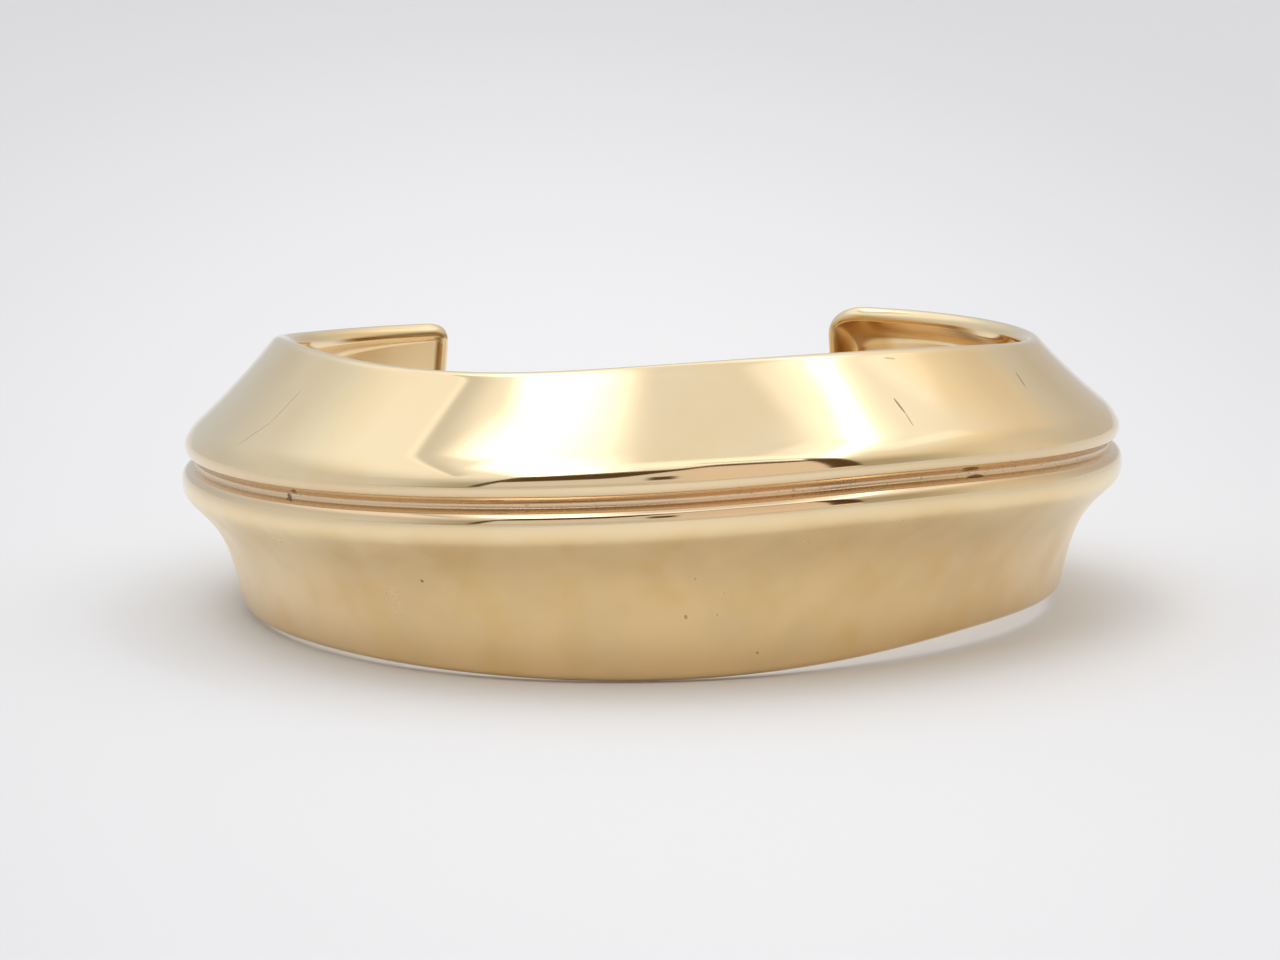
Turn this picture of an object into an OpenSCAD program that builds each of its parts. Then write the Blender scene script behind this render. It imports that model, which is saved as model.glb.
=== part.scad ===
// Wide cuff bracelet in millimetres, Z up, lying on its side as it rests.
// The front faces -Y and the opening faces +Y. Angles run round the wrist from
// the front, negative to the left and positive to the right.
// Every section is a pair of chains, an outer and an inner one, of points
// [inset from the ridge, height above the floor].

/* [Cuff] */
// Width across the ridge, left to right
cuff_width = 73.7; // [66:0.1:84]
// Height of the front, from the lower edge to the upper edge
front_height = 24; // [20:0.5:28]
// Thickness of the rounded upper and lower edges
edge_thick = 1.7; // [1.4:0.1:2.2]

/* [Ridge] */
// Radius of the shoulder, where the upper flank runs out over the upper bead
shoulder_r = 4.5; // [3:0.5:6]
// Radius of the upper bead's face at the front
front_face_r = 2.5; // [1.5:0.1:3]
// Radius of the upper bead's face at the sides and the back
side_face_r = 0.9; // [0.9:0.1:1.5]
// Radius of the upper bead's underside
under_r = 1.2; // [1:0.1:1.4]
// Radius of the lower bead's top
crown_r = 0.8; // [0.6:0.1:1]
// Radius of the lower bead's face
low_face_r = 2.1; // [1.5:0.1:2.5]
// Height of the upper bead's outermost line above the groove
upper_bead_rise = 1.35; // [1.2:0.05:1.6]
// Depth of the lower bead's outermost line below the groove
lower_bead_drop = 1.45; // [1.3:0.05:1.6]
// Distance by which the lower bead stands out past the upper one
lower_bead_out = 0.25; // [0:0.05:0.5]
// Depth of the groove between the beads
groove_depth = 0.85; // [0.5:0.05:1]

/* [Flanks] */
// Angle by which the front's upper flank turns at each end, which makes it hollow
front_turn = 6; // [0:1:12]
// The same angle at the sides and the back
side_turn = 4; // [0:1:12]
// Slope of the lower flank under the ridge, from upright
lower_slope_top = 46; // [36:1:50]
// Slope of the lower flank above the lower edge, from upright
lower_slope_foot = 12; // [5:1:20]

/* [Ends] */
// Angle of the left end, from the front
left_end = 149.8; // [140:0.2:150]
// Angle of the right end, from the front
right_end = 149; // [140:0.2:150]
// Length of the left end's rounded corners, along the band
left_run = 2.6; // [1:0.1:5]
// Height of the left end's rounded corners
left_drop = 1.15; // [0.5:0.05:3]
// Length of the right end's rounded corners, along the band
right_run = 5; // [1:0.1:5]
// Height of the right end's rounded corners
right_drop = 2.8; // [0.5:0.05:3]
// Flat border between each end and the hollow back
end_wall = 1.2; // [0.8:0.1:1.5]
// Length over which the hollow deepens behind the left end's border
left_ramp = 0.6; // [0.5:0.1:6]
// Length over which the hollow deepens behind the right end's border
right_ramp = 1; // [0.5:0.1:6]
// Share of the back's height that its lower bank takes
foot_share = 0.5; // [0.4:0.05:0.5]

/* [Hidden] */

// One row for each section, 30 degrees apart, which steer a smooth curve.
// reach: ridge from the middle of the wrist. groove, top, foot: heights of the
// groove, the upper edge and the lower edge. lean_up, lean_down: insets of the
// upper and lower edges from the ridge. rim, bank, dip: the hollow back, as its
// flat rim, the width of its upper bank and its depth.
REACH = 1;
GROOVE = 2;
TOP = 3;
LEAN_UP = 4;
FOOT = 5;
LEAN_DOWN = 6;
RIM = 7;
BANK = 8;
DIP = 9;
SECTIONS = [
    // angle, reach, groove, top, lean_up, foot, lean_down, rim, bank, dip
    [-150, 37.9, 10.6, 19.1, 7.7, 0.0, 5.1, 0.0, 0.5, 0.6],
    [-120, 38.9, 10.8, 19.9, 7.7, 0.3, 5.3, 0.1, 1.2, 0.6],
    [ -90, 35.7, 12.1, 22.4, 7.6, 0.4, 5.1, 1.6, 6.0, 1.2],
    [ -60, 34.6, 12.9, 22.6, 7.6, 0.6, 6.0, 1.2, 7.0, 4.0],
    [ -30, 33.9, 14.0, 22.8, 6.9, 0.3, 6.5, 1.2, 7.0, 4.0],
    [   0, 32.2, 14.7, 24.1, 6.4, 0.0, 6.5, 1.2, 7.0, 3.6],
    [  30, 32.3, 15.5, 24.3, 6.6, 0.6, 7.0, 1.2, 7.0, 4.0],
    [  60, 33.4, 14.4, 23.3, 7.0, 1.5, 7.0, 1.2, 7.0, 4.0],
    [  90, 36.6, 13.0, 21.3, 6.8, 1.3, 5.4, 1.6, 6.0, 1.2],
    [ 120, 39.3, 12.2, 20.7, 7.4, 0.8, 4.7, 0.0, 0.8, 1.2],
    [ 150, 36.7, 11.8, 20.5, 7.8, 0.0, 4.5, 0.0, 3.4, 2.7]
];
LAST_ROW = len(SECTIONS) - 1;
ROW_STEP = SECTIONS[1][0] - SECTIONS[0][0];
TABLE_WIDTH = 73.7;
TABLE_HEIGHT = 24;
plan_scale = cuff_width / TABLE_WIDTH;
height_scale = front_height / TABLE_HEIGHT;
edge_r = edge_thick / 2;

// Rows beyond the table run on in a straight line.
function row(i) =
    i < 0 ? 2 * SECTIONS[0] - SECTIONS[1] :
    i > LAST_ROW ? 2 * SECTIONS[LAST_ROW] - SECTIONS[LAST_ROW - 1] :
    SECTIONS[i];

// Uniform cubic B-spline through the table at angle a.
function section(a) =
    let (q = (a - SECTIONS[0][0]) / ROW_STEP)
    let (i = max(0, min(LAST_ROW - 1, floor(q))))
    let (t = q - i)
    (pow(1 - t, 3) * row(i - 1)
     + (3 * pow(t, 3) - 6 * pow(t, 2) + 4) * row(i)
     + (-3 * pow(t, 3) + 3 * pow(t, 2) + 3 * t + 1) * row(i + 1)
     + pow(t, 3) * row(i + 2)) / 6;

// Outward normal of a section at an elevation, and the way down along its face.
function out_dir(e) = [-cos(e), sin(e)];
function down_dir(e) = [-sin(e), -cos(e)];

// Point of a round edge or bead, at elevation e.
function on_round(centre, r, e) = centre + r * out_dir(e);
function arc(centre, r, e0, e1, n) =
    [for (i = [0:n - 1]) on_round(centre, r, e0 + (e1 - e0) * i / (n - 1))];

// Flank from one round to the next, leaving at elevation e0, arriving at e1.
// pull0 and pull1 are the lengths of its tangents, as shares of the chord.
function flank_point(p0, p3, e0, e1, pull0, pull1, t) =
    let (chord = norm(p3 - p0))
    let (p1 = p0 + pull0 * chord * down_dir(e0))
    let (p2 = p3 - pull1 * chord * down_dir(e1))
    pow(1 - t, 3) * p0 + 3 * pow(1 - t, 2) * t * p1
    + 3 * (1 - t) * pow(t, 2) * p2 + pow(t, 3) * p3;

// Depth of the hollow at share x of its upper bank: steep at the rim, level inside.
function sunk(x) = 1 - pow(1 - max(0, min(1, x)), 1.5);
function smooth_step(x) = let (t = max(0, min(1, x))) t * t * (3 - 2 * t);

// Share of a value that belongs to the front: 1 there and 0 from the sides on.
function front_share(a) = abs(a) < 90 ? pow(cos(a), 2) : 0;

// Amount that a rounding of radius r takes away at distance s from an end.
function rounding(s, r) = s < r ? r - sqrt(max(0, r * r - (r - s) * (r - s))) : 0;

// Elevations at which the round faces of the beads begin and end.
SHOULDER_MIDDLE = 36;
SHOULDER_FOOT = 26;
FACE_FOOT = 5;
UNDER_HEAD = -10;
UNDER_FOOT = -26;
CROWN_HEAD = 70;
CROWN_FOOT = 15;
LOW_FACE_HEAD = -5;
// Height of the groove's floor above and below its middle, and the floor's sag.
FLOOR_HEAD = 0.2;
FLOOR_FOOT = 0.15;
FLOOR_SAG = 0.04;
// Tangents of the upper flank, and of the lower flank at the ridge and at the heel.
UPPER_PULL = 1/3;
LOWER_PULL = 0.32;
HEEL_PULL = 0.6;
// Elevation at which the inner chain leaves the lip, and at its other end the heel.
INNER_HEAD = 111;
// Least share of the wall's half that the rounding of an end's edges leaves.
LEAST_HALF = 0.1;

// Chain lengths: points in each stretch of the outer and the inner chain.
UPPER_T = [0.25, 0.5, 0.75];
LOWER_T = [0.12, 0.24, 0.36, 0.5, 0.68, 0.86];
BANK_T = [0, 0.2, 0.4, 0.6, 0.8, 1];
FLOOR_T = [0.25, 0.5, 0.75];
FOOT_T = [1, 0.91, 0.82, 0.73, 0.64, 0.55, 0.46, 0.37, 0.28, 0.19, 0.1, 0];

// Both chains at angle a, where s is the distance from the nearer end, and end holds
// that end's corner run and drop, and the length of its ramp.
function chains(a, s, end) =
    let (v = section(a))
    let (cut = end[1] / end[0] * rounding(s, end[0]))
    let (groove = v[GROOVE] * height_scale)
    let (full_rise = v[TOP] * height_scale - groove)
    let (top = groove + full_rise - cut)
    let (lean_up = v[LEAN_UP] * (1 - cut / full_rise))
    let (foot = v[FOOT] * height_scale + cut)
    let (lean_down = v[LEAN_DOWN])
    // middles of the rounds
    let (lip = [lean_up, top - edge_r])
    let (heel = [lean_down, foot + edge_r])
    let (face_r = side_face_r + (front_face_r - side_face_r) * front_share(a))
    let (under = [under_r, groove + upper_bead_rise])
    let (face = on_round(under, under_r - face_r, FACE_FOOT))
    let (shoulder = on_round(face, face_r - shoulder_r, SHOULDER_FOOT))
    let (low_face = [low_face_r - lower_bead_out, groove - lower_bead_drop])
    let (crown = on_round(low_face, low_face_r - crown_r, CROWN_FOOT))
    // upper flank, tangent to the lip and the shoulder
    let (run = lip - shoulder)
    let (turn = side_turn + (front_turn - side_turn) * front_share(a))
    let (lean = atan2(run[0], run[1]) + asin((shoulder_r - edge_r) / norm(run)))
    let (e0 = lean - turn)
    let (e1 = lean + turn)
    let (u0 = on_round(lip, edge_r, e0))
    let (u3 = on_round(shoulder, shoulder_r, e1))
    // lower flank, from the lower bead's face down to the heel
    let (f0 = -lower_slope_top)
    let (f1 = -lower_slope_foot)
    let (w0 = on_round(low_face, low_face_r, f0))
    let (w3 = on_round(heel, edge_r, f1))
    let (outer = concat(
        arc(lip, edge_r, 90, e0, 3),
        [for (t = UPPER_T) flank_point(u0, u3, e0, e1, UPPER_PULL, UPPER_PULL, t)],
        arc(shoulder, shoulder_r, e1, SHOULDER_MIDDLE, 2),
        arc(face, face_r, SHOULDER_FOOT, FACE_FOOT, 3),
        arc(under, under_r, UNDER_HEAD, UNDER_FOOT, 2),
        [[groove_depth, groove + FLOOR_HEAD], [groove_depth + FLOOR_SAG, groove],
         [groove_depth, groove - FLOOR_FOOT]],
        arc(crown, crown_r, CROWN_HEAD, CROWN_FOOT, 3),
        arc(low_face, low_face_r, LOW_FACE_HEAD, f0, 3),
        [for (t = LOWER_T) flank_point(w0, w3, f0, f1, LOWER_PULL, HEEL_PULL, t)],
        arc(heel, edge_r, f1, -90, 4)))
    // the hollow back sinks from the straight line between the inner edges
    let (tilt = atan2(lip[0] - heel[0], lip[1] - heel[1]))
    let (p_top = on_round(lip, edge_r, 180 + tilt))
    let (p_foot = on_round(heel, edge_r, tilt - 180))
    let (length = norm(p_foot - p_top))
    let (down = (p_foot - p_top) / length)
    let (outwards = [down[1], -down[0]])
    let (rim = v[RIM])
    let (bank = v[BANK])
    let (depth = v[DIP] * sunk((s - end_wall) / end[2]))
    let (foot_bank = foot_share * length)
    let (floor_top = rim + bank)
    let (floor_foot = length - rim - foot_bank)
    let (hollow = [for (x = concat(
            [for (t = BANK_T) rim + bank * t],
            [for (t = FLOOR_T) floor_top + (floor_foot - floor_top) * t],
            [for (t = FOOT_T) length - rim - foot_bank * t]))
        let (foot_rise = smooth_step((length - rim - x) / foot_bank))
        let (share = sunk((x - rim) / bank) * pow(foot_rise, 2))
        p_top + x * down + depth * share * outwards])
    let (inner = concat(
        arc(lip, edge_r, INNER_HEAD, 180 + tilt, 5),
        hollow,
        arc(heel, edge_r, tilt - 180, -INNER_HEAD, 6)))
    // the end's own edges are rounded towards the middle of the wall
    let (round_off = rounding(s, edge_r))
    [for (side = [0, 1]) [for (i = [0:len(outer) - 1])
        let (p = side == 0 ? outer[i] : inner[i])
        let (mid = (outer[i] + inner[i]) / 2)
        let (half = norm(p - mid))
        mid + (p - mid) * max(LEAST_HALF, 1 - round_off / half)]];

// A closed ring of points in space at angle a.
function ring(a, s, end) =
    let (reach = section(a)[REACH] * plan_scale)
    let (both = chains(a, s, end))
    let (loop = concat(both[0], [for (i = [len(both[1]) - 1:-1:0]) both[1][i]]))
    [for (p = loop) [(reach - p[0]) * sin(a), -(reach - p[0]) * cos(a), p[1]]];

// Distances from an end of its first rings, then even steps between the ends.
END_STEPS = [0.05, 0.2, 0.45, 0.8, 1.2, 1.5, 1.8, 2.4, 3.2, 4.2];
FIRST_EVEN = 5.2;
MIDDLE_STEPS = 70;
LEFT = [left_run, left_drop, left_ramp];
RIGHT = [right_run, right_drop, right_ramp];
left_degree = section(-left_end)[REACH] * plan_scale * PI / 180;
right_degree = section(right_end)[REACH] * plan_scale * PI / 180;
function left_ring(s) = ring(-left_end + s / left_degree, s, LEFT);
function right_ring(s) = ring(right_end - s / right_degree, s, RIGHT);
first_even = -left_end + FIRST_EVEN / left_degree;
last_even = right_end - FIRST_EVEN / right_degree;

rings = concat(
    [for (s = END_STEPS) left_ring(s)],
    [for (i = [0:MIDDLE_STEPS])
        let (a = first_even + (last_even - first_even) * i / MIDDLE_STEPS)
        a < 0 ? ring(a, (a + left_end) * left_degree, LEFT)
              : ring(a, (right_end - a) * right_degree, RIGHT)],
    [for (i = [len(END_STEPS) - 1:-1:0]) right_ring(END_STEPS[i])]);

// Loft of closed rings with n points each, its ends closed by strips between
// the outer and the inner half of the ring.
module loft(rings) {
    n = len(rings[0]);
    last = len(rings) - 1;
    points = [for (r = rings) for (p = r) p];
    sides = [for (j = [0:last - 1]) for (i = [0:n - 1])
        let (k = (i + 1) % n)
        each [[j * n + i, (j + 1) * n + k, j * n + k],
              [j * n + i, (j + 1) * n + i, (j + 1) * n + k]]];
    caps = [for (j = [0, last]) for (i = [0:n / 2 - 2])
        let (a = j * n + i)
        let (b = j * n + i + 1)
        let (c = j * n + n - 2 - i)
        let (d = j * n + n - 1 - i)
        each j == 0 ? [[a, c, d], [a, b, c]] : [[a, d, c], [a, c, b]]];
    polyhedron(points = points, faces = concat(sides, caps), convexity = 10);
}

// The band is moved so that its box stands on the floor, centred on the origin.
function reached(axis) = [for (r = rings) for (p = r) p[axis]];
function middle(axis) = (min(reached(axis)) + max(reached(axis))) / 2;
to_origin = [-middle(0), -middle(1), -min(reached(2))];

module cuff_band() {
    color([0.86, 0.71, 0.44])
        translate(to_origin)
            loft(rings);
}

cuff_band();
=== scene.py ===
import bpy
import numpy as np
from mathutils import Matrix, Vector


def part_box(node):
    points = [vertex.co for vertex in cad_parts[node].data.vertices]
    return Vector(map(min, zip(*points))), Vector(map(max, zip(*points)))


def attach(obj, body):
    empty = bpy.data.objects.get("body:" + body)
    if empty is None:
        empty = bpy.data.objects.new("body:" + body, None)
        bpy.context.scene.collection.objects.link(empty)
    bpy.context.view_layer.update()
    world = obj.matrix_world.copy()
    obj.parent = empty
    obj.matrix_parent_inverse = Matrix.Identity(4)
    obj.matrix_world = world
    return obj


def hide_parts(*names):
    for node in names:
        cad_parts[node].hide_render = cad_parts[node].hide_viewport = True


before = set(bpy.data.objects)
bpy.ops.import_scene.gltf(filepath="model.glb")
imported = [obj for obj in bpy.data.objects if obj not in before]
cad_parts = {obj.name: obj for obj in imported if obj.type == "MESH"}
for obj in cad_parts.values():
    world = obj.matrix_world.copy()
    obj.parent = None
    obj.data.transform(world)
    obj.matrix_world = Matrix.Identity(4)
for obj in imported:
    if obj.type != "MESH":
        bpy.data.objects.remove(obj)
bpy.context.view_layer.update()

# The cast band
# The whole cuff is one casting in pale gold-coloured brass, bent round the wrist
# and open at the back. Two hollow flanks meet at a ridge of two beads with a
# groove between them. The back of the band is hollow, with a rounded rim.
MM = 0.001

# Sections round the wrist, in degrees from the front and millimetres, as in the part's
# source. The columns from reach to lean_down come from a least-squares fit to the
# photo's outline, ridge and edge lines, rounded to 0.1 mm, with five values changed by
# 0.1 mm. The hollow's rim, bank and dip are not from that fit.
REACH, GROOVE, TOP, LEAN_UP, FOOT, LEAN_DOWN, RIM, BANK, DIP = range(1, 10)
SECTIONS = np.array([
    # angle, reach, groove, top, lean_up, foot, lean_down, rim, bank, dip
    [-150, 37.9, 10.6, 19.1, 7.7, 0.0, 5.1, 0.0, 0.5, 0.6],
    [-120, 38.9, 10.8, 19.9, 7.7, 0.3, 5.3, 0.1, 1.2, 0.6],
    [-90, 35.7, 12.1, 22.4, 7.6, 0.4, 5.1, 1.6, 6.0, 1.2],
    [-60, 34.6, 12.9, 22.6, 7.6, 0.6, 6.0, 1.2, 7.0, 4.0],
    [-30, 33.9, 14.0, 22.8, 6.9, 0.3, 6.5, 1.2, 7.0, 4.0],
    [0, 32.2, 14.7, 24.1, 6.4, 0.0, 6.5, 1.2, 7.0, 3.6],
    [30, 32.3, 15.5, 24.3, 6.6, 0.6, 7.0, 1.2, 7.0, 4.0],
    [60, 33.4, 14.4, 23.3, 7.0, 1.5, 7.0, 1.2, 7.0, 4.0],
    [90, 36.6, 13.0, 21.3, 6.8, 1.3, 5.4, 1.6, 6.0, 1.2],
    [120, 39.3, 12.2, 20.7, 7.4, 0.8, 4.7, 0.0, 0.8, 1.2],
    [150, 36.7, 11.8, 20.5, 7.8, 0.0, 4.5, 0.0, 3.4, 2.7],
])

# Radii of the rounded edges and of the beads, and the places of the beads.
edge_r = 0.85
shoulder_r, front_face_r, side_face_r, under_r = 4.5, 2.5, 0.9, 1.2
crown_r, low_face_r = 0.8, 2.1
upper_bead_rise, lower_bead_drop, lower_bead_out = 1.35, 1.45, 0.25

# Elevations in degrees at which one round stretch of the outside hands over to the next,
# how far the upper flank's two ends turn off its lean, and the slopes of the lower
# flank's two ends.
shoulder_foot, face_foot, under_foot, crown_head, crown_foot = 26, 5, -26, 70, 15
front_turn, side_turn = 6, 4
lower_slope_top, lower_slope_foot = 46, 12

# The groove, and the pulls of the smooth stretches as shares of their chords.
groove_depth = 0.88
upper_pull, groove_pull, lower_pull_top, lower_pull_foot = 1 / 3, 0.4, 0.32, 0.6

# The two ends: angle, length and height of the rounded corners, the wall that closes
# the hollow, how far it takes to deepen, and the least share of the band's thickness.
left_end, right_end = 149.8, 149.0
left_run, left_drop = 2.6, 1.15
right_run, right_drop = 5.0, 2.8
end_wall = 1.2
left_ramp, right_ramp = 0.6, 1.0
least_thickness = 0.1

# The hollow: the share of the rim-to-rim line that its lower bank takes, where on its
# floor the first point stands and how much of the floor the points take up, and the
# elevation at which the chain of the inside starts.
foot_share = 0.5
floor_start, floor_cover = 0.05, 0.9
inner_start = 100


def section_at(angle):
    """Uniform cubic B-spline steered by the rows of SECTIONS: a weighted sum of the
    four rows round each angle. Rows past the table run on in a straight line."""
    rows = np.vstack([2 * SECTIONS[0] - SECTIONS[1], SECTIONS,
                      2 * SECTIONS[-1] - SECTIONS[-2]])
    q = (angle - SECTIONS[0, 0]) / (SECTIONS[1, 0] - SECTIONS[0, 0])
    i = np.clip(np.floor(q).astype(int), 0, len(SECTIONS) - 2)
    t = (q - i)[:, None]
    return ((1 - t) ** 3 * rows[i] + (3 * t**3 - 6 * t**2 + 4) * rows[i + 1]
            + (-3 * t**3 + 3 * t**2 + 3 * t + 1) * rows[i + 2] + t**3 * rows[i + 3]) / 6


def column(value, like):
    """A number or one value for each section, as a column beside the array like."""
    return np.broadcast_to(np.asarray(value, float), like.shape[:1])[:, None]


def arc(centre, radius, start, end, steps):
    """Round stretch: centre + radius * (-cos e, sin e), with the elevation e going
    evenly from start to end in degrees, for every section at once."""
    t = np.linspace(0, 1, steps)
    e = np.radians(column(start, centre) * (1 - t) + column(end, centre) * t)
    way = np.stack([-np.cos(e), np.sin(e)], -1)
    return centre[:, None] + column(radius, centre)[..., None] * way


def flank(p0, p3, start, end, pull0, pull1, steps):
    """Cubic Bezier stretch from p0 to p3, without its two ends. It leaves downwards
    along a face of elevation start and arrives along one of elevation end, with
    tangents of pull0 and pull1 times the chord."""
    chord = np.linalg.norm(p3 - p0, axis=1)[:, None]
    way = [np.hstack([-np.sin(e), -np.cos(e)])
           for e in (np.radians(column(start, p0)), np.radians(column(end, p0)))]
    p1 = p0 + pull0 * chord * way[0]
    p2 = p3 - pull1 * chord * way[1]
    t = np.linspace(0, 1, steps + 2)[1:-1, None]
    p0, p1, p2, p3 = (p[:, None] for p in (p0, p1, p2, p3))
    return (1 - t)**3 * p0 + 3 * (1 - t)**2 * t * p1 + 3 * (1 - t) * t**2 * p2 + t**3 * p3


def rounding(s, radius):
    """What a rounded corner takes away at distance s from the end: r - sqrt(r^2 - (r-s)^2)."""
    return np.where(s < radius, radius - np.sqrt(np.maximum(0, radius**2 - (radius - s)**2)), 0)


def smooth_step(x):
    """0 below 0, 1 above 1, and 3t^2 - 2t^3 between."""
    t = np.clip(x, 0, 1)
    return t * t * (3 - 2 * t)


def sunk(x):
    """Depth of the hollow at share x of its upper bank, steep at the rim and level
    inside: 1 - (1 - x)^1.5."""
    return 1 - (1 - np.clip(x, 0, 1))**1.5


# Points in each stretch of the outer chain and of the inner chain, top to bottom.
OUTER_STEPS = {"lip": 10, "upper": 22, "shoulder": 9, "face": 12, "under": 8,
               "groove_top": 3, "groove_foot": 3, "crown": 7, "low_face": 13, "lower": 34,
               "heel": 10}
INNER_STEPS = {"lip": 14, "bank": 40, "floor": 14, "foot_bank": 46, "heel": 14}


def chains(angle, s, run, drop, ramp):
    """Outer and inner chain of each section, as points (inset from the ridge, height),
    where s is the distance from the nearer end, run and drop are the length and the
    height of that end's rounded corners, and ramp is where its hollow deepens."""
    row = section_at(angle)
    cut = drop / run * rounding(s, run)
    groove = row[:, GROOVE]
    rise = row[:, TOP] - groove

    def spot(inset, height):
        return np.stack(np.broadcast_arrays(inset, height), -1)

    def start(centre, radius, elevation):
        return arc(centre, radius, elevation, elevation, 1)[:, 0]

    front = np.where(abs(angle) < 90, np.cos(np.radians(angle))**2, 0)
    face_r = side_face_r + (front_face_r - side_face_r) * front
    turn = side_turn + (front_turn - side_turn) * front
    lip = spot(row[:, LEAN_UP] * (1 - cut / rise), groove + rise - cut - edge_r)
    heel = spot(row[:, LEAN_DOWN], row[:, FOOT] + cut + edge_r)
    under = spot(under_r, groove + upper_bead_rise)
    face = start(under, under_r - face_r, face_foot)
    shoulder = start(face, face_r - shoulder_r, shoulder_foot)
    low_face = spot(low_face_r - lower_bead_out, groove - lower_bead_drop)
    crown = start(low_face, low_face_r - crown_r, crown_foot)
    slope = lip - shoulder
    lean = np.degrees(np.arctan2(slope[:, 0], slope[:, 1])
                      + np.arcsin((shoulder_r - edge_r) / np.linalg.norm(slope, axis=1)))
    e0, e1 = lean - turn, lean + turn
    f0, f1 = -lower_slope_top, -lower_slope_foot
    bottom = spot(groove_depth, groove)
    steps = OUTER_STEPS
    outer = np.hstack([
        arc(lip, edge_r, 90, e0, steps["lip"]),
        flank(start(lip, edge_r, e0), start(shoulder, shoulder_r, e1), e0, e1,
              upper_pull, upper_pull, steps["upper"]),
        arc(shoulder, shoulder_r, e1, shoulder_foot, steps["shoulder"])[:, :-1],
        arc(face, face_r, shoulder_foot, face_foot, steps["face"])[:, :-1],
        arc(under, under_r, face_foot, under_foot, steps["under"]),
        flank(start(under, under_r, under_foot), bottom, under_foot, 0,
              groove_pull, groove_pull, steps["groove_top"]),
        flank(bottom, start(crown, crown_r, crown_head), 0, crown_head,
              groove_pull, groove_pull, steps["groove_foot"]),
        arc(crown, crown_r, crown_head, crown_foot, steps["crown"])[:, :-1],
        arc(low_face, low_face_r, crown_foot, f0, steps["low_face"]),
        flank(start(low_face, low_face_r, f0), start(heel, edge_r, f1), f0, f1,
              lower_pull_top, lower_pull_foot, steps["lower"]),
        arc(heel, edge_r, f1, -90, steps["heel"])])
    steps = INNER_STEPS
    tilt = np.degrees(np.arctan2(*(lip - heel).T))
    rim_top = start(lip, edge_r, 180 + tilt)[:, None]
    rim_foot = start(heel, edge_r, tilt - 180)[:, None]
    length = np.linalg.norm(rim_foot - rim_top, axis=-1)
    rim, bank, dip = (row[:, k, None] for k in (RIM, BANK, DIP))
    foot_bank = foot_share * length
    floor_top, floor_foot = rim + bank, length - rim - foot_bank
    on_bank, on_floor, on_foot = (np.linspace(0, 1, steps[name])
                                  for name in ("bank", "floor", "foot_bank"))
    x = np.hstack([rim + bank * on_bank,
                   floor_top + (floor_foot - floor_top) * on_floor * floor_cover + floor_start,
                   length - rim - foot_bank * (1 - on_foot)])
    plateau = sunk((x - rim) / bank) * smooth_step((length - rim - x) / foot_bank)**2
    plateau *= sunk((s - end_wall) / ramp)[:, None]
    down = (rim_foot - rim_top) / length[..., None]
    outwards = np.stack([down[..., 1], -down[..., 0]], -1)
    hollow = rim_top + x[..., None] * down + (dip * plateau)[..., None] * outwards
    inner = np.hstack([arc(lip, edge_r, inner_start, 180 + tilt, steps["lip"]), hollow,
                       arc(heel, edge_r, tilt - 180, -inner_start, steps["heel"])])
    middle = (outer + inner) / 2
    half = np.linalg.norm(outer - middle, axis=-1, keepdims=True)
    keep = np.maximum(least_thickness, 1 - rounding(s, edge_r)[:, None, None] / half)
    return middle + (outer - middle) * keep, middle + (inner - middle) * keep


# Distances from an end of its first sections, then even steps between the two places
# where those end.
END_STEPS = np.array([0.03, 0.1, 0.2, 0.33, 0.48, 0.65, 0.85, 1.1, 1.3, 1.5, 1.7, 1.9, 2.2, 2.5])
END_ZONE = 2.9
MIDDLE_STEPS = 356


def at_distance(s, end):
    """Angle at distance s along the ridge from the end at angle end, towards the front."""
    return end - np.sign(end) * np.degrees(s / section_at(np.array([end]))[0, REACH])


even = np.linspace(at_distance(END_ZONE, -left_end), at_distance(END_ZONE, right_end),
                   MIDDLE_STEPS)
angles = np.concatenate([at_distance(END_STEPS, -left_end), even,
                         at_distance(END_STEPS, right_end)[::-1]])
is_left = angles < 0
end_angle = np.where(is_left, -left_end, right_end)
end_reach = section_at(end_angle)[:, REACH]
from_end = np.radians(abs(end_angle - angles)) * end_reach
outer, inner = chains(angles, from_end, np.where(is_left, left_run, right_run),
                      np.where(is_left, left_drop, right_drop),
                      np.where(is_left, left_ramp, right_ramp))
loop = np.hstack([outer, inner[:, ::-1]])
radius = section_at(angles)[:, REACH, None] - loop[..., 0]
heading = np.radians(angles)[:, None]
points = np.stack([radius * np.sin(heading), -radius * np.cos(heading), loop[..., 1]], -1)
sections, around = points.shape[:2]
half_way = around // 2

# The band is centred on the box of its solid, and stands where the solid stands.
node_low, node_high = np.array(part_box("cuff_band")) / MM
low, high = points.min((0, 1)), points.max((0, 1))
shift = (node_low + node_high - low - high) / 2
shift[2] = node_low[2] - low[2]
points += shift

index = np.arange(sections * around).reshape(sections, around)
next_in = np.roll(index, -1, 1)
sides = np.stack([index[:-1], index[1:], next_in[1:], next_in[:-1]], -1).reshape(-1, 4)
pair = index[:, ::-1]
caps = [np.stack([index[j, :half_way - 1], index[j, 1:half_way],
                  pair[j, 1:half_way], pair[j, :half_way - 1]], -1) for j in (0, -1)]
faces = np.concatenate([sides, caps[0], caps[1][:, ::-1]])

mesh = bpy.data.meshes.new("cast_band")
mesh.from_pydata((points * MM).reshape(-1, 3), [], faces.tolist())
mesh.polygons.foreach_set("use_smooth", np.ones(len(faces), bool))
cast_band = bpy.data.objects.new("cast_band", mesh)
bpy.context.collection.objects.link(cast_band)


def add_mask(name, values):
    """One number for each point of the band, as an attribute that a material reads."""
    mesh.attributes.new(name, "FLOAT", "POINT").data.foreach_set("value", values.ravel())


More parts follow.
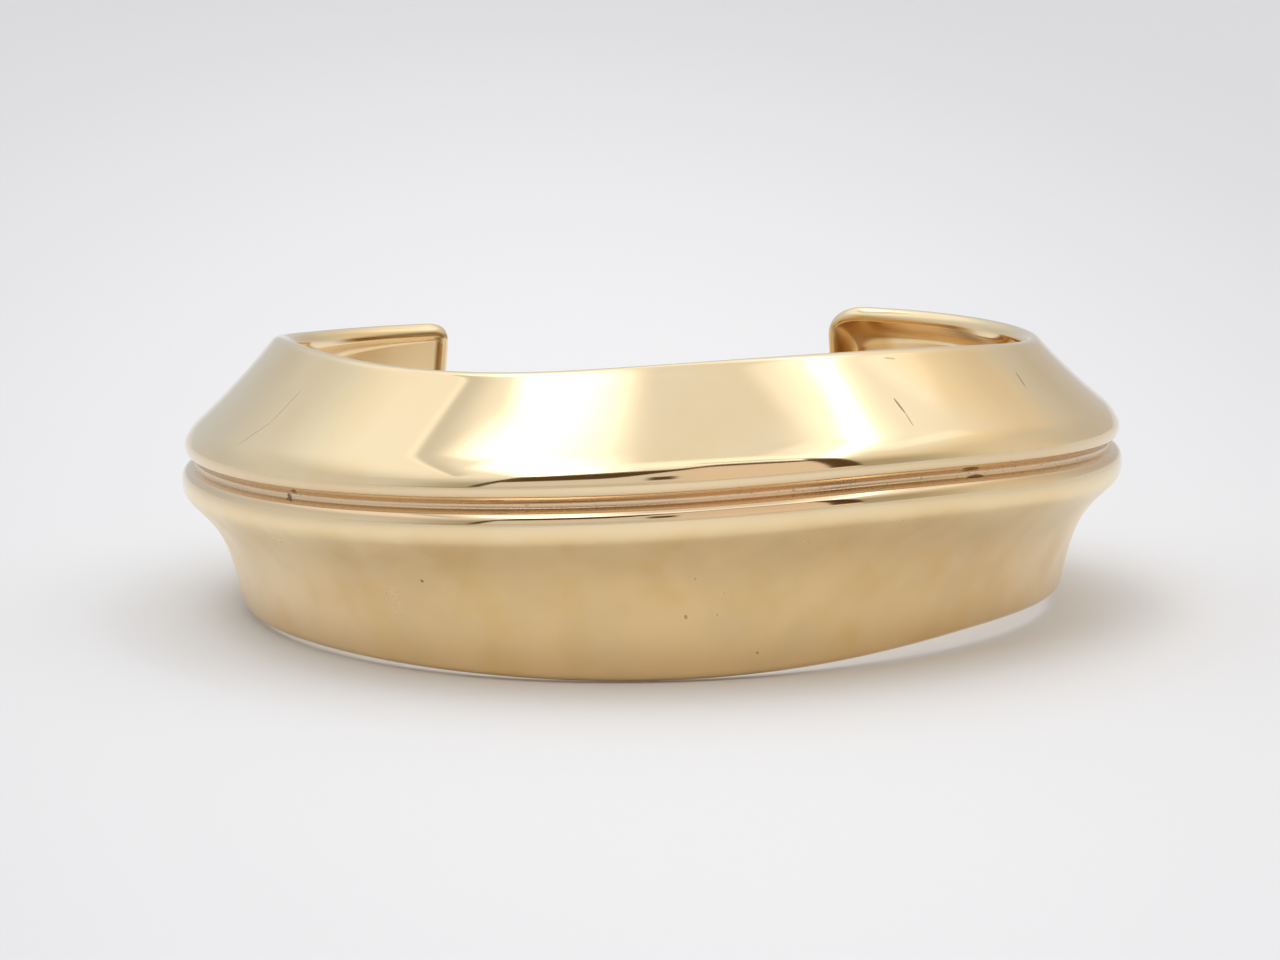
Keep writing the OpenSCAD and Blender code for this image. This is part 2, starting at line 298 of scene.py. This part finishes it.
# Masks: satin metal on the lower flank and in the hollow back; the groove, which holds dirt
# and painted shade, and its two walls, where shade is painted; the brow of the lower
# flank under the ridge, where a reflection is painted; and the foot of that flank, where
# shade is painted.
is_inside = np.arange(around) >= half_way
height = points[..., 2]
above_groove = loop[..., 1] - section_at(angles)[:, GROOVE, None]
under_rim = points[:, -1 - INNER_STEPS["lip"], None, 2] - height
in_hollow = smooth_step(under_rim / 0.3) * smooth_step((height - 2.0) / 0.5)
rim_satin, hollow_satin = 0.2, 0.5
satin_outside = smooth_step((-above_groove - 1.2) / 1.8)
add_mask("satin", np.where(is_inside, rim_satin + hollow_satin * in_hollow, satin_outside))
outside_masks = {"groove": 1 - smooth_step(abs(above_groove) / 0.75),
                 "wall": 1 - smooth_step((abs(above_groove) - 0.5) / 0.9),
                 "brow_reflection": smooth_step((above_groove + 7.5) / 4),
                 "foot": 1 - smooth_step((height - 0.8) / 3.4)}
for name, values in outside_masks.items():
    add_mask(name, np.where(is_inside, 0, values))

# Dirt and painted shade inside the two ends: a dark line under the left rim and beside both
# end walls, partly dirt and partly painted shade. The right end holds a painted brown
# reflection, and a painted dark reflection where that brown runs out.
line_strength, rim_line_angle, end_line_at = 0.75, 123, 1.5
dark_spot_at, dark_spot_length, dark_spot_height = 17.3, 2.6, 0.5
reflection_by_end_length, reflection_length, reflection_width = 5.5, 18.5, 0.6
to_end = from_end[:, None]
is_right = ~is_left[:, None]
rim_line = 1 - smooth_step((abs(under_rim + 0.25) - 0.06) / 0.2)
rim_line *= smooth_step((-angles[:, None] - rim_line_angle) / 7)
end_line = 1 - smooth_step((abs(to_end - end_line_at) - 0.08) / 0.25)
end_line = end_line * smooth_step((under_rim + 0.3) / 0.3)
dark_spot = np.exp(-((to_end - dark_spot_at) / dark_spot_length)**2
                   - ((under_rim - 0.2) / dark_spot_height)**2) * is_right
reflection_by_end = 1 - smooth_step((to_end - reflection_by_end_length) / 1.5)
reflection_under_rim = 1 - smooth_step((to_end - reflection_length) / 2)
reflection_under_rim = reflection_under_rim * (1 - smooth_step((under_rim - reflection_width) / 0.5))
brown_reflection = np.maximum(reflection_by_end, reflection_under_rim) * is_right
brown_reflection = brown_reflection * smooth_step((under_rim + 0.5) / 0.2) * smooth_step((height - 8) / 6)
dirt_and_shade = np.maximum(line_strength * np.maximum(rim_line, end_line), dark_spot)
add_mask("brown_reflection", np.where(is_inside, brown_reflection, 0))
add_mask("dirt_and_shade", np.where(is_inside, dirt_and_shade, 0))


class Wire:
    """One output of a shader node, or the bare node tree. Arithmetic adds Math nodes."""

    def __init__(self, tree, socket=None):
        self.tree, self.socket = tree, socket

    def node(self, kind, settings=None, sockets=None, output=0):
        """A node of any kind: first its settings, then its sockets' values or wires."""
        made = self.tree.nodes.new(kind)
        for name, value in (settings or {}).items():
            setattr(made, name, value)
        for name, value in (sockets or {}).items():
            if isinstance(value, Wire):
                self.tree.links.new(value.socket, made.inputs[name])
            else:
                made.inputs[name].default_value = value
        return Wire(self.tree, made.outputs[output] if made.outputs else None)

    def math(self, operation, *terms):
        """A Math node on the terms alone, each a wire or a number."""
        return self.node("ShaderNodeMath", {"operation": operation}, dict(enumerate(terms)))

    def vector(self, operation, *terms):
        """Vector maths of this and the terms. Distances and lengths are numbers."""
        made = self.node("ShaderNodeVectorMath", {"operation": operation},
                         dict(enumerate((self, *terms))))
        is_number = operation in ("DISTANCE", "LENGTH")
        return Wire(self.tree, made.socket.node.outputs["Value" if is_number else "Vector"])

    def times(self, number):
        """A vector or colour times a number."""
        return self.node("ShaderNodeVectorMath", {"operation": "SCALE"},
                         {0: self, "Scale": number})

    def __add__(self, other):
        return self.math("ADD", self, other)

    def __radd__(self, other):
        return self.math("ADD", other, self)

    def __sub__(self, other):
        return self.math("SUBTRACT", self, other)

    def __rsub__(self, other):
        return self.math("SUBTRACT", other, self)

    def __mul__(self, other):
        return self.math("MULTIPLY", self, other)

    def __rmul__(self, other):
        return self.math("MULTIPLY", other, self)

    def __truediv__(self, other):
        return self.math("DIVIDE", self, other)

    def __rtruediv__(self, other):
        return self.math("DIVIDE", other, self)

    def rise(self, low, high):
        """0 at low, 1 at high, with soft ends between: the smooth step."""
        return self.node("ShaderNodeMapRange", {"interpolation_type": "SMOOTHSTEP"},
                         {"Value": self, "From Min": low, "From Max": high})

    def blend(self, first, second):
        """Colour first where this is 0 and second where it is 1. The numbers are the
        factor's and the two colours' sockets, and the colour's output."""
        return self.node("ShaderNodeMix", {"data_type": "RGBA", "blend_type": "MIX"},
                         {0: self, 6: first, 7: second}, 2)

    def speckle(self, where, size, detail=3.0):
        """Noise from 0 to 1 with grains of about that size in millimetres."""
        return self.node("ShaderNodeTexNoise", None,
                         {"Vector": where, "Scale": 1 / size, "Detail": detail,
                          "Roughness": 0.5})


def empty_tree(owner):
    """The cleared node tree of a material or of the world, ready for nodes."""
    owner.use_nodes = True
    owner.node_tree.nodes.clear()
    return Wire(owner.node_tree)


# Scratches and pits, as slender ellipses on the metal: the two ends in millimetres,
# half the width at the middle, and the strength. The ends were found as the places on
# the band that lie under the marks in the photo.
MARKS = [
    ((16.60, -23.56, 20.80), (17.45, -24.28, 19.74), 0.13, 0.75),
    ((17.40, -24.22, 19.80), (17.97, -25.00, 18.92), 0.10, 0.45),
    ((26.90, -11.47, 20.74), (27.61, -12.34, 19.67), 0.12, 0.6),
    ((16.06, -21.09, 23.43), (16.98, -20.54, 23.26), 0.10, 0.4),
    ((-27.30, -12.45, 20.00), (-29.93, -12.74, 17.35), 0.10, 0.3),
    ((-29.60, -12.76, 17.60), (-32.37, -11.58, 15.55), 0.10, 0.35),
    ((-32.00, -11.80, 15.70), (-34.57, -7.00, 14.61), 0.10, 0.2),
    ((-18.49, -24.66, 7.60), (-18.49, -24.66, 7.50), 0.17, 0.8),
    ((0.90, -27.75, 5.35), (0.98, -27.65, 5.10), 0.16, 0.5),
    ((1.57, -28.91, 8.35), (1.57, -28.91, 8.28), 0.11, 0.3),
    ((3.76, -27.91, 7.07), (3.76, -27.91, 7.00), 0.10, 0.25),
    ((3.28, -27.36, 5.32), (3.28, -27.36, 5.25), 0.10, 0.3),
    ((6.30, -25.77, 2.12), (6.42, -25.73, 2.06), 0.16, 0.4),
    ((-28.40, -18.75, 13.10), (-28.15, -18.95, 12.60), 0.35, 0.8),
    ((-13.71, -30.08, 14.55), (-12.46, -30.50, 14.61), 0.20, 0.5),
    ((22.10, -23.02, 14.57), (23.50, -21.72, 14.53), 0.28, 0.9),
]


def gold_plate():
    """Pale polished gold, clouded with warmer tones. It is satin and deeper in colour on
    the lower flank and in the hollow back. Painted reflections make the flank paler on its
    far sides and lighter on its brow under the ridge. Painted shade darkens the foot, the
    groove and its walls, and dirt lies in the groove. Inside the ends lie dark lines of dirt
    and painted shade, and the right end holds a painted brown reflection and a painted dark
    reflection. The marks are dark."""
    finish = bpy.data.materials.new("gold_plate")
    tree = empty_tree(finish)
    place = tree.node("ShaderNodeTexCoord", output="Object")
    place = place.times(1 / MM)
    satin, groove, wall, brow_reflection, foot, brown_reflection, dirt_and_shade = (
        tree.node("ShaderNodeAttribute", {"attribute_name": name}, None, "Fac")
        for name in ("satin", "groove", "wall", "brow_reflection", "foot", "brown_reflection", "dirt_and_shade"))
    pale, warm = (0.90, 0.725, 0.465, 1), (0.88, 0.655, 0.36, 1)
    dirt_tone, mark_tone = (0.25, 0.14, 0.07, 1), (0.16, 0.09, 0.04, 1)
    cloud = tree.speckle(place, 6.0).rise(0.35, 0.75)
    to_right = tree.node("ShaderNodeSeparateXYZ", None, {"Vector": place})
    # Painted reflection: the satin lower flank is made paler towards its far sides.
    far_side_reflection = to_right.math("ABSOLUTE", to_right).rise(16.0, 34.0)
    blotch = satin * tree.speckle(place, 5.0, 2.0).rise(0.4, 0.7)
    stain = satin * tree.speckle(place.vector("ADD", (9, 4, 2)), 5.0, 2.0).rise(0.45, 0.75)
    colour = (cloud * 0.4).blend(pale, warm)
    layers = [
        # where, how strongly, tone
        (satin, 0.8, (0.97, 0.725, 0.385, 1)),
        (far_side_reflection * satin, 0.8, (0.96, 0.78, 0.53, 1)),
        # Painted reflection: the brow of the lower flank under the ridge is made lighter, as the
        # lit floor shows in it.
        (brow_reflection * satin, 0.55, (1.0, 0.84, 0.52, 1)),
        (blotch, 0.45, (0.82, 0.65, 0.38, 1)),
        (stain, 0.5, (0.86, 0.60, 0.26, 1)),
        # Painted shade: the foot of the lower flank is darkened near the floor.
        (foot, 0.22, (0.60, 0.40, 0.20, 1)),
        # Painted shade: the groove's walls and the groove itself are darkened to brown.
        (wall, 0.42, (0.62, 0.44, 0.30, 1)),
        (groove, 0.3, (0.66, 0.45, 0.30, 1)),
        # Painted reflection: a brown tone in the right end, by its end wall and under its rim.
        (brown_reflection, 0.75, (0.72, 0.42, 0.14, 1)),
        # Dark lines inside the ends, partly dirt and partly painted shade, and a painted dark
        # reflection in the right end.
        (dirt_and_shade, 0.85, (0.16, 0.075, 0.025, 1)),
    ]
    for where, amount, tone in layers:
        colour = (where * amount).blend(colour, tone)
    coarse = to_right.rise(4.0, 9.0) * 0.05
    dirt = groove * tree.speckle(place, 0.4).rise(0.6 - coarse, 0.8 - coarse)
    colour = (dirt * 0.5).blend(colour, dirt_tone)
    marked = 0.0
    for start, end, width, strength in MARKS:
        way_round = place.vector("DISTANCE", start) + place.vector("DISTANCE", end)
        length = np.linalg.norm(np.subtract(end, start))
        here = strength * (1 - way_round.rise(np.hypot(length, 0.8 * width),
                                              np.hypot(length, 2 * width)))
        marked = here.math("MAXIMUM", here, marked)
    colour = marked.blend(colour, mark_tone)
    grain = tree.speckle(place, 0.25)
    polish, satin_rough, dull = 0.07, 0.15 + 0.03 * grain + 0.04 * cloud, 0.2
    rough = polish + satin * satin_rough + (dirt + groove + marked) * dull
    shader = tree.node("ShaderNodeBsdfPrincipled", None,
                       {"Base Color": colour, "Metallic": 1.0, "Roughness": rough})
    tree.node("ShaderNodeOutputMaterial", None, {"Surface": shader})
    return finish


mesh.materials.append(gold_plate())
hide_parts("cuff_band")
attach(cast_band, "root")

# The floor
# A plain pale sweep of matt card under the cuff, which it rests on. A pool of light is
# painted on it round the cuff.
half_floor = 1.5
floor_mesh = bpy.data.meshes.new("floor")
floor_corners = [(x * half_floor, y * half_floor, 0)
                 for x, y in ((-1, -1), (1, -1), (1, 1), (-1, 1))]
floor_mesh.from_pydata(floor_corners, [], [(0, 1, 2, 3)])
floor = bpy.data.objects.new("floor", floor_mesh)
bpy.context.collection.objects.link(floor)


def pale_card():
    """Matt off-white card with a painted pool of light: it dims softly away from an oval
    patch under the cuff.
    """
    patch_x, patch_y, patch_shift = 0.055, 0.24, -0.15
    bright, dim = (0.76, 0.76, 0.768, 1), (0.60, 0.60, 0.615, 1)
    finish = bpy.data.materials.new("pale_card")
    tree = empty_tree(finish)
    place = tree.node("ShaderNodeTexCoord", output="Object")
    place = place.vector("MULTIPLY_ADD", (1 / patch_x, 1 / patch_y, 0), (0, patch_shift, 0))
    # Painted pool of light: the card is brighter in an oval round the cuff and dims away from
    # it.
    colour = place.vector("LENGTH").rise(0.0, 2.2).blend(bright, dim)
    shader = tree.node("ShaderNodeBsdfPrincipled", None,
                       {"Base Color": colour, "Roughness": 0.9})
    tree.node("ShaderNodeOutputMaterial", None, {"Surface": shader})
    return finish


floor_mesh.materials.append(pale_card())

# The light
# A small light tent of white cloth with two lit strips in its roof. Its opening at the
# front has a dark frame, and a dim beige room shows through it. All places follow the
# reflections in the photo's metal.
world = bpy.data.worlds.new("light_tent")
bpy.context.scene.world = world
tent = empty_tree(world)
way = tent.node("ShaderNodeTexCoord", output="Generated")
split = tent.node("ShaderNodeSeparateXYZ", None, {"Vector": way})
x, y, z = (Wire(world.node_tree, split.socket.node.outputs[i]) for i in range(3))


def between(value, low, high, soft):
    """1 between low and high, falling softly to 0 over the width soft outside."""
    return value.rise(low - soft, low) * (1 - value.rise(high, high + soft))


# Places on the roof are measured at height 1 over the cuff, and places on the front
# at distance 1 before it. The least divisor keeps both finite at the horizon.
least_divisor = 0.02
up = z.math("MAXIMUM", z, least_divisor)
roof_x, roof_y = x / up, y / up
near = y.math("MAXIMUM", 0 - y, least_divisor)
front_x, front_z = x / near, z / near
overhead = z.rise(0.05, 0.3)
facing = (0 - y).rise(0.02, 0.05)

# The walls are two thirds as bright as the roof, and dimmer beside the opening and low
# at the back. The roof has a soft shade in its middle and a brighter panel on its right.
wall_level, roof_gain = 0.72, 0.36
corner_drop, right_back_drop, back_drop, back_lift = 0.4, 0.02, 0.12, 0.19
shade_drop, panel_gain = 0.17, 0.12
corner = (0.2 * x - y).rise(0.1, 0.65) * (1 - z.rise(0.25, 0.5))
back = y.rise(0.4, 0.8)
right_back = y.rise(0.25, 0.6) * x.rise(0.1, 0.4)
level = wall_level + roof_gain * z.rise(0.42, 0.72)
level = level * (1 - corner_drop * corner) * (1 - right_back_drop * right_back)
level = level * (1 - back * (back_drop - back_lift * z.rise(0.2, 0.45)))
shade = between(roof_x, -0.02, 0.36, 0.12) * between(roof_y, -0.48, 0.5, 0.12) * overhead
panel = between(roof_x, 1.0, 1.15, 0.12) * between(roof_y, -0.3, 0.5, 0.2) * overhead
level = level * (1 - shade_drop * shade) * (1 + panel_gain * panel)

# The walls are neutral on the left, warm on the right and beside the opening, and bluish
# at the left of the back. A warm patch lies at the back of the roof's right.
neutral, warm_right = (0.99, 1.0, 1.02, 1), (1.06, 0.98, 0.84, 1)
bluish, right_back_tone = (0.96, 1.0, 1.04, 1), (0.94, 0.90, 0.85, 1)
corner_tone, patch_tone = (1.05, 0.97, 0.77, 1), (1.06, 0.94, 0.76, 1)
corner_tinge, patch_tinge = 0.8, 0.7
warmth = x.rise(0.2, 0.9) * (1 - z.rise(0.5, 0.65))
coolness = y.rise(0.1, 0.8) * (1 - x.rise(0.0, 0.4))
warm_patch = between(roof_x, 1.2, 1.45, 0.3) * between(roof_y, 0.6, 1.6, 0.5) * overhead
tint = warmth.blend(neutral, warm_right)
tint = coolness.blend(tint, bluish)
tint = right_back.blend(tint, right_back_tone)
tint = (corner_tinge * corner).blend(tint, corner_tone)
tint = (patch_tinge * warm_patch).blend(tint, patch_tone)

# A straight seam joins the left wall to the roof. It is a thin bright line with a
# shadow on its right.
seam_shadow, seam_gain, seam_slope = 0.33, 0.12, 0.45
seam = roof_x - seam_slope * roof_y
along_seam = between(roof_y, -0.6, 0.45, 0.1) * overhead
shadow = seam_shadow * along_seam * seam.rise(-0.77, -0.74)
level = level * (1 - shadow * (1 - seam.rise(-0.73, -0.52)))
level = level + seam_gain * along_seam * between(seam, -0.79, -0.78, 0.02)

# Two lit strips run back over the roof, the right one with a soft glow round it, and a
# weaker one runs across the roof's front. The left strip is wider at its front, and the
# right one leans to the left towards the back.
left_gain, glow_gain, across_gain = 1.4, 0.35, 0.25
widening, lean_back, lean_front, lean_turn = 0.2, 0.65, 0.35, 0.1
at_front = 1 - roof_y.rise(-0.4, -0.05)
left_strip = left_gain * (roof_x + widening * at_front).rise(-0.56, -0.34)
left_strip = left_strip * (1 - roof_x.rise(-0.34, 0.03))
lean = roof_y.math("MAXIMUM", lean_back * (roof_y + lean_turn),
                   lean_front * (roof_y + lean_turn))
strip_x = roof_x + lean
right_glow = glow_gain * strip_x.rise(0.30, 0.62) * (1 - strip_x.rise(0.80, 1.05))
right_strip = strip_x.rise(0.57, 0.70) * (1 - strip_x.rise(0.76, 0.88))
across = between(roof_x, 0.05, 0.7, 0.15)
across = across_gain * between(roof_y, -0.8, -0.62, 0.08) * across
strip_ends = between(roof_y, -1.0, 0.5, 0.2) * overhead
level = level + (left_strip + right_glow + right_strip + across) * strip_ends
light = tint.times(level)

# The opening: a dark brown frame, whose upper bar is thicker on the left, with a
# second thin bar above it. The room behind is dim and has a small dark thing and a low
# skirting in it.
frame_tone, skirting_tone = (0.10, 0.06, 0.028, 1), (0.15, 0.1, 0.07, 1)
room_left, room_right = (0.75, 0.72, 0.71, 1), (0.82, 0.70, 0.62, 1)
thin_bar_strength, skirting_strength = 0.5, 0.2
post_x = front_x - 0.28 * front_z
bar_foot = front_z - 0.5 - 0.52 * front_x.rise(-0.2, 0.35)
bar_head = front_z - 1.0 - 0.15 * front_x.rise(0.1, 0.4)
inside_frame = post_x.rise(-0.93, -0.87) * (1 - front_x.rise(1.25, 1.35)) * facing
room = inside_frame * front_z.rise(0.0, 0.02) * (1 - bar_head.rise(-0.03, 0.03))
room_light = front_x.rise(0.0, 0.3).blend(room_left, room_right)
light = room.blend(light, room_light)
left_post = between(post_x, -0.98, -0.90, 0.03) * between(front_z, 0.15, 1.0, 0.04)
right_post = between(front_x, 1.0, 1.3, 0.05) * between(front_z, 0.18, 1.25, 0.05)
bar = inside_frame * bar_foot.rise(-0.03, 0.03) * (1 - bar_head.rise(-0.03, 0.03))
thin_bar = thin_bar_strength * between(front_x, 0.3, 1.2, 0.1)
thin_bar = thin_bar * between(front_z, 1.29, 1.33, 0.04)
dark_thing = between(front_x, 0.05, 0.12, 0.04) * between(front_z, 0.27, 0.42, 0.06)
frame_mask = left_post.math("MAXIMUM", left_post, right_post)
for part in (bar, thin_bar, dark_thing):
    frame_mask = frame_mask.math("MAXIMUM", frame_mask, part)
light = (frame_mask * facing).blend(light, frame_tone)
skirting = skirting_strength * between(front_z, 0.06, 0.13, 0.04)
skirting = skirting * (1 - front_x.rise(0.0, 0.3)) * facing
light = skirting.blend(light, skirting_tone)
shine = tent.node("ShaderNodeBackground", None, {"Color": light, "Strength": 1.0})
tent.node("ShaderNodeOutputWorld", None, {"Surface": shine})

# A broad lamp over the tent's roof brightens the floor round the cuff. A setting keeps
# it out of the metal's reflections, where the real tent shows no such lamp.
lamp = bpy.data.lights.new("roof_lamp", "AREA")
lamp.shape, lamp.size, lamp.energy = "DISK", 0.8, 0.55
roof_lamp = bpy.data.objects.new("roof_lamp", lamp)
roof_lamp.location = (0, 0.07, 0.65)
roof_lamp.visible_glossy = False
bpy.context.collection.objects.link(roof_lamp)

# The camera
# It stands in front and a little to the left, ten degrees above the floor, and looks at
# the middle of the cuff. Its values come from a fit to the photo's lines, rounded.
azimuth, elevation, roll = np.radians([-2.577, 10.124, -0.104])
distance = 517.8
aim_right, aim_height = -0.889, 10.623
aim = np.array([aim_right * np.cos(azimuth), aim_right * np.sin(azimuth), aim_height]) + shift
back_way = np.array([np.sin(azimuth) * np.cos(elevation),
                     -np.cos(azimuth) * np.cos(elevation), np.sin(elevation)])
right_way = np.array([np.cos(azimuth), np.sin(azimuth), 0.0])
up_way = np.cross(back_way, right_way)
lens = bpy.data.cameras.new("camera")
lens.sensor_width, lens.lens = 36.0, 187.08
lens.clip_start, lens.clip_end = 0.01, 20.0
camera = bpy.data.objects.new("camera", lens)
bpy.context.collection.objects.link(camera)
pose = np.eye(4)
pose[:3, :3] = np.stack([right_way, up_way, back_way], -1)
pose[:3, 3] = (aim + distance * back_way) * MM
camera.matrix_world = Matrix(pose.tolist()) @ Matrix.Rotation(roll, 4, "Z")
bpy.context.scene.camera = camera
bpy.context.scene.view_settings.view_transform = "Standard"
